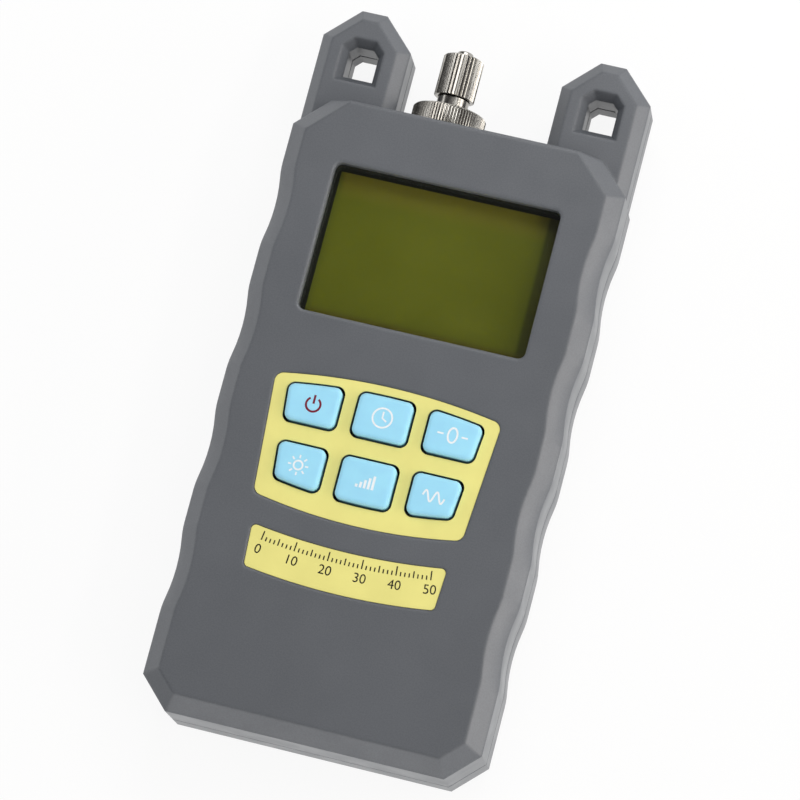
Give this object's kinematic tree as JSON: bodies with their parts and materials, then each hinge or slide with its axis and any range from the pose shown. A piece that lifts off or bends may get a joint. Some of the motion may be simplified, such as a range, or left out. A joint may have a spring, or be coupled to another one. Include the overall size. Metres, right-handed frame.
{
  "type": "optical power meter",
  "caption": "Hand-held optical power meter with a display, rubber keys, two strap ears, a capped fibre port and a battery door on its back.",
  "frame": {"origin": "centre of the footprint, on the surface that the back rests on", "axes": "+X to the right of the face, +Y towards the optical port, +Z out of the face"},
  "size_m": [0.081, 0.175, 0.0293],
  "materials": {
    "housing_abs": "fine satin, dark grey",
    "steel": "plain",
    "clear_window": "clear, polished",
    "black_plastic": "satin",
    "lcd_glass": "olive, blank",
    "light_guide": "translucent",
    "rubber_dark": "plain",
    "yellow_film": "printed film",
    "key_rubber": "soft, light blue",
    "mat_rubber": "soft",
    "circuit_board": "lacquered",
    "nickel_brass": "nickel plated",
    "cell_jacket": "plain jacket",
    "sleeve_bronze": "plain"
  },
  "bodies": {
    "case": {"front_shell": "housing_abs", "rear_shell": "housing_abs", "case_screws": "steel", "display_window": "clear_window", "display_frame": "black_plastic", "lcd_panel": "lcd_glass", "backlight_panel": "light_guide", "contact_strip": "rubber_dark", "keypad_overlay": "yellow_film", "name_plate": "yellow_film", "keypad_mat": "mat_rubber", "main_board": "circuit_board", "board_screws": "steel", "processor": "black_plastic", "amplifier": "black_plastic", "crystal": "steel", "buzzer": "black_plastic", "cell_a": "cell_jacket", "cell_b": "cell_jacket", "cell_c": "cell_jacket", "cell_springs": "steel", "bridge_lower": "steel", "bridge_upper": "steel", "tab_plus": "steel", "strip_minus": "steel", "detector_housing": "nickel_brass", "photodiode": "nickel_brass", "fc_adapter": "nickel_brass", "ferrule_sleeve": "sleeve_bronze"},
    "key_power_body": {"key_power": "key_rubber", "pill_power": "rubber_dark"},
    "key_timer_body": {"key_timer": "key_rubber", "pill_timer": "rubber_dark"},
    "key_zero_body": {"key_zero": "key_rubber", "pill_zero": "rubber_dark"},
    "key_light_body": {"key_light": "key_rubber", "pill_light": "rubber_dark"},
    "key_level_body": {"key_level": "key_rubber", "pill_level": "rubber_dark"},
    "key_wave_body": {"key_wave": "key_rubber", "pill_wave": "rubber_dark"},
    "door": {"battery_door": "housing_abs"},
    "cap": {"dust_cap": "nickel_brass", "cap_stud": "nickel_brass", "cap_seal": "rubber_dark"}
  },
  "joints": [
    {"name": "power_press", "type": "slide", "parent": "case", "child": "key_power_body", "axis": [0, 0, -1], "range_m": [0, 0.001], "stiffness_N_per_m": 1100, "springref_m": -0.0003},
    {"name": "timer_press", "type": "slide", "parent": "case", "child": "key_timer_body", "axis": [0, 0, -1], "range_m": [0, 0.001], "stiffness_N_per_m": 1100, "springref_m": -0.0003},
    {"name": "zero_press", "type": "slide", "parent": "case", "child": "key_zero_body", "axis": [0, 0, -1], "range_m": [0, 0.001], "stiffness_N_per_m": 1100, "springref_m": -0.0003},
    {"name": "light_press", "type": "slide", "parent": "case", "child": "key_light_body", "axis": [0, 0, -1], "range_m": [0, 0.001], "stiffness_N_per_m": 1100, "springref_m": -0.0003},
    {"name": "level_press", "type": "slide", "parent": "case", "child": "key_level_body", "axis": [0, 0, -1], "range_m": [0, 0.001], "stiffness_N_per_m": 1100, "springref_m": -0.0003},
    {"name": "wave_press", "type": "slide", "parent": "case", "child": "key_wave_body", "axis": [0, 0, -1], "range_m": [0, 0.001], "stiffness_N_per_m": 1100, "springref_m": -0.0003},
    {"name": "door_swing", "type": "hinge", "parent": "case", "child": "door", "pos_m": [0, -0.08085, 0.0003], "axis": [-1, 0, 0], "range_deg": [0, 70]},
    {"name": "cap_pull", "type": "slide", "parent": "case", "child": "cap", "axis": [0, 1, 0], "range_m": [0, 0.06]}
  ]
}
